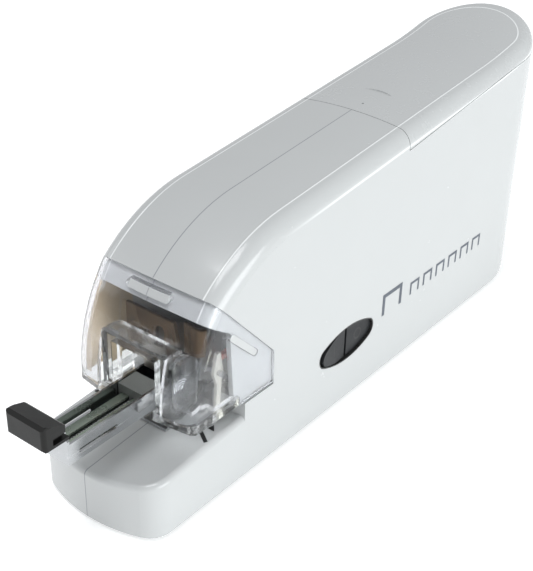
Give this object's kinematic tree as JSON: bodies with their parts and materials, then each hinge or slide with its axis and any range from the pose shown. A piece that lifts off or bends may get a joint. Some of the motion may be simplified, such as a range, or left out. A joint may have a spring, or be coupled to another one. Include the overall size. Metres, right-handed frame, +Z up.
{
  "type": "electric desk stapler",
  "caption": "Electric desk stapler: slim upright body, clear front hood, pull-out staple magazine, sliding battery door and an oval rocker switch.",
  "frame": {"origin": "on the floor, under the middle of the stapler with its magazine pulled out", "axes": "+Z up, the nose and paper throat face -Y, the power switch is on the +X side"},
  "size_m": [0.0509, 0.261, 0.1113],
  "materials": {
    "white_abs": "moulded ABS, light gloss",
    "clear_hood": "clear styrene, polished",
    "clear_guard": "clear styrene, polished",
    "rubber": "soft, matt",
    "zinc": "bright zinc plating",
    "steel_plate": "cold-rolled sheet",
    "shaft_steel": "ground",
    "brass": "turned, sintered bronze and brass",
    "motor_steel": "drawn can",
    "spring_steel": "spring wire",
    "nickel": "bright nickel plating on sheet steel",
    "anvil_steel": "hardened, satin",
    "core_steel": "grey-green phosphated sheet",
    "pusher_plastic": "dark grey acetal",
    "bronze_steel": "bronze-coloured heat-treated plate",
    "blade_steel": "hardened blade",
    "black_plastic": "fine spark texture",
    "cam_plastic": "filled nylon",
    "gear_plastic": "natural acetal",
    "sensor_plastic": "small switch case",
    "lever_plastic": "natural acetal",
    "red_plastic": "red button",
    "switch_black": "black nylon",
    "rocker_black": "charcoal nylon",
    "tray_plastic": "black",
    "cell_wrap": "printed sleeve, plain",
    "board_green": "solder mask",
    "board_black": "moulded cases"
  },
  "bodies": {
    "housing": {"housing_right": "white_abs", "housing_left": "white_abs", "housing_screws": "zinc", "rubber_feet": "rubber", "front_cover": "clear_hood", "paper_guard": "clear_guard", "chassis_right": "steel_plate", "chassis_left": "steel_plate", "chassis_spacers": "zinc", "chassis_screws": "zinc", "gear_plate": "steel_plate", "gear_shafts": "shaft_steel", "shaft_bushings": "brass", "pivot_shaft": "shaft_steel", "motor_can": "motor_steel", "motor_end_cap": "black_plastic", "motor_bearing": "brass", "motor_screws": "zinc", "lift_spring": "spring_steel", "anvil_plate": "anvil_steel", "anvil_screws": "zinc", "lever_pin": "shaft_steel", "sensor_bracket": "steel_plate", "microswitch": "sensor_plastic", "microswitch_screws": "zinc", "switch_body": "switch_black", "battery_tray": "tray_plastic", "battery_cells": "cell_wrap", "battery_contacts": "nickel", "battery_springs": "spring_steel", "dc_jack": "black_plastic", "circuit_board": "board_green", "board_parts": "board_black"},
    "door": {"battery_door": "white_abs"},
    "head": {"magazine_guide": "nickel", "arm_spring": "spring_steel"},
    "magazine": {"magazine_channel": "nickel", "magazine_end": "nickel", "staple_core": "core_steel", "pull_tab": "black_plastic", "pusher_spring": "spring_steel"},
    "pusher": {"staple_pusher": "pusher_plastic"},
    "press": {"press_arm": "steel_plate", "roller_pin": "shaft_steel", "cam_roller": "shaft_steel", "driver_plate": "bronze_steel", "driver_blade": "blade_steel"},
    "cam": {"cam": "cam_plastic", "cam_shaft": "shaft_steel", "cam_gear": "gear_plastic"},
    "second_gear": {"second_gear": "gear_plastic"},
    "first_gear": {"first_gear": "gear_plastic"},
    "rotor": {"motor_pinion": "brass", "motor_shaft": "shaft_steel", "motor_armature": "steel_plate"},
    "paper_lever": {"paper_lever": "lever_plastic"},
    "plunger": {"microswitch_plunger": "red_plastic"},
    "rocker": {"switch_rocker": "rocker_black"}
  },
  "joints": [
    {"name": "cam_spin", "type": "hinge", "parent": "housing", "child": "cam", "pos_m": [0, -0.0345, 0.063], "axis": [1, 0, 0], "range_deg": [0, 150]},
    {"name": "second_gear_spin", "type": "hinge", "parent": "housing", "child": "second_gear", "pos_m": [0, -0.01353, 0.0619], "axis": [1, 0, 0], "range_deg": [-481, 1]},
    {"name": "first_gear_spin", "type": "hinge", "parent": "housing", "child": "first_gear", "pos_m": [0, 0.00464, 0.06711], "axis": [1, 0, 0], "range_deg": [-1, 2113]},
    {"name": "rotor_spin", "type": "hinge", "parent": "housing", "child": "rotor", "pos_m": [0, 0.01693, 0.06085], "axis": [1, 0, 0], "range_deg": [-7604.2, 1]},
    {"name": "head_hinge", "type": "hinge", "parent": "housing", "child": "head", "pos_m": [0, 0.0285, 0.0445], "axis": [1, 0, 0], "range_deg": [0, 3.5], "deforming": ["lift_spring"]},
    {"name": "press_hinge", "type": "hinge", "parent": "housing", "child": "press", "pos_m": [0, 0.0285, 0.0445], "axis": [1, 0, 0], "range_deg": [0, 7], "deforming": ["arm_spring"]},
    {"name": "magazine_slide", "type": "slide", "parent": "head", "child": "magazine", "axis": [0, 1, 0], "range_m": [0, 0.042]},
    {"name": "pusher_slide", "type": "slide", "parent": "magazine", "child": "pusher", "axis": [0, 1, 0], "range_m": [-0.026, 0.012], "deforming": ["pusher_spring"]},
    {"name": "door_slide", "type": "slide", "parent": "housing", "child": "door", "axis": [0, 0.9913, 0.1318], "range_m": [0, 0.065]},
    {"name": "paper_lever_hinge", "type": "hinge", "parent": "housing", "child": "paper_lever", "pos_m": [0.0186, -0.0695, 0.044], "axis": [1, 0, 0], "range_deg": [0, 15], "stiffness_Nm_per_rad": 0.0005},
    {"name": "plunger_slide", "type": "slide", "parent": "housing", "child": "plunger", "axis": [0, -1, 0], "range_m": [0, 0.0008]},
    {"name": "rocker_hinge", "type": "hinge", "parent": "housing", "child": "rocker", "pos_m": [0.02, -0.0058, 0.025], "axis": [0, 0, -1], "range_deg": [0, 7]}
  ],
  "couplings": [
    {"joint": "second_gear_spin", "follows": "cam_spin", "ratio": -3.2},
    {"joint": "first_gear_spin", "follows": "cam_spin", "ratio": 14.08},
    {"joint": "rotor_spin", "follows": "cam_spin", "ratio": -50.688},
    {"joint": "head_hinge", "follows": "cam_spin", "ratio": 0.023333},
    {"joint": "press_hinge", "follows": "cam_spin", "ratio": 0.046667},
    {"joint": "plunger_slide", "follows": "paper_lever_hinge", "m_per_rad": 0.003}
  ]
}
